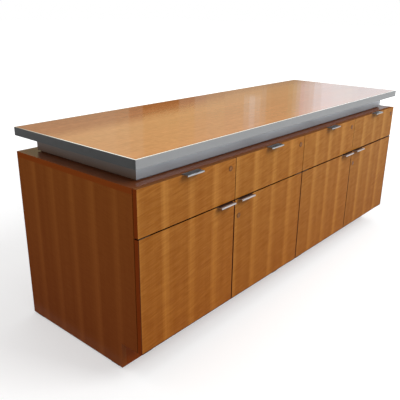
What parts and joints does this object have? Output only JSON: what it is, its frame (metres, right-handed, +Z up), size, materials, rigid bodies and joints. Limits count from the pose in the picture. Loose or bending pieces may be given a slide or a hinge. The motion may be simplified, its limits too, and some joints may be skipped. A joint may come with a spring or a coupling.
{
  "type": "office credenza",
  "caption": "Low veneered office credenza with a row of drawers over cupboard doors and a metal-edged top raised on an inset riser.",
  "frame": {"origin": "on the floor under the middle of the whole part, pulls included", "axes": "+X along the case, -Y out of the drawer fronts, +Z up"},
  "size_m": [1.829, 0.631, 0.7325],
  "materials": {
    "case_veneer": "open-pored veneer, satin lacquer",
    "front_veneer": "open-pored veneer, satin lacquer",
    "top_veneer": "open-pored veneer, satin lacquer",
    "box_birch": "clear lacquered birch",
    "band_aluminium": "satin anodised",
    "riser_laminate": "satin metal laminate on board",
    "pull_metal": "satin plated",
    "lock_chrome": "bright plated",
    "slide_zinc": "clear zinc plated",
    "hinge_steel": "satin nickel plated",
    "catch_plastic": "moulded brown",
    "pin_steel": "nickel plated",
    "glide_plastic": "black nylon"
  },
  "bodies": {
    "case": {"left_end_panel": "case_veneer", "right_end_panel": "case_veneer", "centre_partition": "case_veneer", "drawer_dividers": "case_veneer", "case_top": "case_veneer", "case_bottom": "case_veneer", "drawer_decks": "case_veneer", "back_panel": "case_veneer", "toe_kick": "case_veneer", "adjustable_shelves": "case_veneer", "shelf_pins": "pin_steel", "riser_rails": "riser_laminate", "top_panel": "top_veneer", "top_edge_bands": "band_aluminium", "floor_glides": "glide_plastic", "slide_cabinet_members": "slide_zinc", "hinge_leaves": "hinge_steel", "magnetic_catches": "catch_plastic"},
    "drawer_1": {"drawer_1_front": "front_veneer", "drawer_1_box": "box_birch", "drawer_1_pull": "pull_metal", "drawer_1_lock_barrel": "lock_chrome", "drawer_1_slide_members": "slide_zinc"},
    "drawer_1_carriages": {"drawer_1_slide_carriages": "slide_zinc"},
    "drawer_1_lock": {"drawer_1_lock_plug": "lock_chrome"},
    "drawer_2": {"drawer_2_front": "front_veneer", "drawer_2_box": "box_birch", "drawer_2_pull": "pull_metal", "drawer_2_lock_barrel": "lock_chrome", "drawer_2_slide_members": "slide_zinc"},
    "drawer_2_carriages": {"drawer_2_slide_carriages": "slide_zinc"},
    "drawer_2_lock": {"drawer_2_lock_plug": "lock_chrome"},
    "drawer_3": {"drawer_3_front": "front_veneer", "drawer_3_box": "box_birch", "drawer_3_pull": "pull_metal", "drawer_3_lock_barrel": "lock_chrome", "drawer_3_slide_members": "slide_zinc"},
    "drawer_3_carriages": {"drawer_3_slide_carriages": "slide_zinc"},
    "drawer_3_lock": {"drawer_3_lock_plug": "lock_chrome"},
    "drawer_4": {"drawer_4_front": "front_veneer", "drawer_4_box": "box_birch", "drawer_4_pull": "pull_metal", "drawer_4_lock_barrel": "lock_chrome", "drawer_4_slide_members": "slide_zinc"},
    "drawer_4_carriages": {"drawer_4_slide_carriages": "slide_zinc"},
    "drawer_4_lock": {"drawer_4_lock_plug": "lock_chrome"},
    "door_1": {"door_1_panel": "front_veneer", "door_1_pull": "pull_metal", "door_1_fittings": "hinge_steel"},
    "door_2": {"door_2_panel": "front_veneer", "door_2_pull": "pull_metal", "door_2_fittings": "hinge_steel"},
    "door_3": {"door_3_panel": "front_veneer", "door_3_pull": "pull_metal", "door_3_fittings": "hinge_steel"},
    "door_4": {"door_4_panel": "front_veneer", "door_4_pull": "pull_metal", "door_4_fittings": "hinge_steel"},
    "door_2_lock": {"door_2_lock_plug": "lock_chrome"},
    "door_4_lock": {"door_4_lock_plug": "lock_chrome"}
  },
  "joints": [
    {"name": "drawer_1_slide", "type": "slide", "parent": "case", "child": "drawer_1", "axis": [0, -1, 0], "range_m": [0, 0.46]},
    {"name": "drawer_1_carriage_slide", "type": "slide", "parent": "case", "child": "drawer_1_carriages", "axis": [0, -1, 0], "range_m": [0, 0.23]},
    {"name": "drawer_1_lock_turn", "type": "hinge", "parent": "drawer_1", "child": "drawer_1_lock", "pos_m": [-0.48725, -0.296, 0.6155], "axis": [0, 1, 0], "range_deg": [0, 90]},
    {"name": "drawer_2_slide", "type": "slide", "parent": "case", "child": "drawer_2", "axis": [0, -1, 0], "range_m": [0, 0.46]},
    {"name": "drawer_2_carriage_slide", "type": "slide", "parent": "case", "child": "drawer_2_carriages", "axis": [0, -1, 0], "range_m": [0, 0.23]},
    {"name": "drawer_2_lock_turn", "type": "hinge", "parent": "drawer_2", "child": "drawer_2_lock", "pos_m": [-0.03, -0.296, 0.6155], "axis": [0, 1, 0], "range_deg": [0, 90]},
    {"name": "drawer_3_slide", "type": "slide", "parent": "case", "child": "drawer_3", "axis": [0, -1, 0], "range_m": [0, 0.46]},
    {"name": "drawer_3_carriage_slide", "type": "slide", "parent": "case", "child": "drawer_3_carriages", "axis": [0, -1, 0], "range_m": [0, 0.23]},
    {"name": "drawer_3_lock_turn", "type": "hinge", "parent": "drawer_3", "child": "drawer_3_lock", "pos_m": [0.42725, -0.296, 0.6155], "axis": [0, 1, 0], "range_deg": [0, 90]},
    {"name": "drawer_4_slide", "type": "slide", "parent": "case", "child": "drawer_4", "axis": [0, -1, 0], "range_m": [0, 0.46]},
    {"name": "drawer_4_carriage_slide", "type": "slide", "parent": "case", "child": "drawer_4_carriages", "axis": [0, -1, 0], "range_m": [0, 0.23]},
    {"name": "drawer_4_lock_turn", "type": "hinge", "parent": "drawer_4", "child": "drawer_4_lock", "pos_m": [0.8845, -0.296, 0.6155], "axis": [0, 1, 0], "range_deg": [0, 90]},
    {"name": "door_1_hinge", "type": "hinge", "parent": "case", "child": "door_1", "pos_m": [-0.9065, -0.2905, 0.2965], "axis": [0, 0, -1], "range_deg": [0, 110]},
    {"name": "door_2_hinge", "type": "hinge", "parent": "case", "child": "door_2", "pos_m": [-0.0095, -0.2905, 0.2965], "axis": [0, 0, 1], "range_deg": [0, 85]},
    {"name": "door_3_hinge", "type": "hinge", "parent": "case", "child": "door_3", "pos_m": [0.0095, -0.2905, 0.2965], "axis": [0, 0, -1], "range_deg": [0, 85]},
    {"name": "door_4_hinge", "type": "hinge", "parent": "case", "child": "door_4", "pos_m": [0.9065, -0.2905, 0.2965], "axis": [0, 0, 1], "range_deg": [0, 110]},
    {"name": "door_2_lock_turn", "type": "hinge", "parent": "door_2", "child": "door_2_lock", "pos_m": [-0.43225, -0.296, 0.4305], "axis": [0, 1, 0], "range_deg": [0, 90]},
    {"name": "door_4_lock_turn", "type": "hinge", "parent": "door_4", "child": "door_4_lock", "pos_m": [0.48225, -0.296, 0.4305], "axis": [0, 1, 0], "range_deg": [0, 90]}
  ],
  "couplings": [
    {"joint": "drawer_1_carriage_slide", "follows": "drawer_1_slide", "ratio": 0.5},
    {"joint": "drawer_2_carriage_slide", "follows": "drawer_2_slide", "ratio": 0.5},
    {"joint": "drawer_3_carriage_slide", "follows": "drawer_3_slide", "ratio": 0.5},
    {"joint": "drawer_4_carriage_slide", "follows": "drawer_4_slide", "ratio": 0.5}
  ]
}
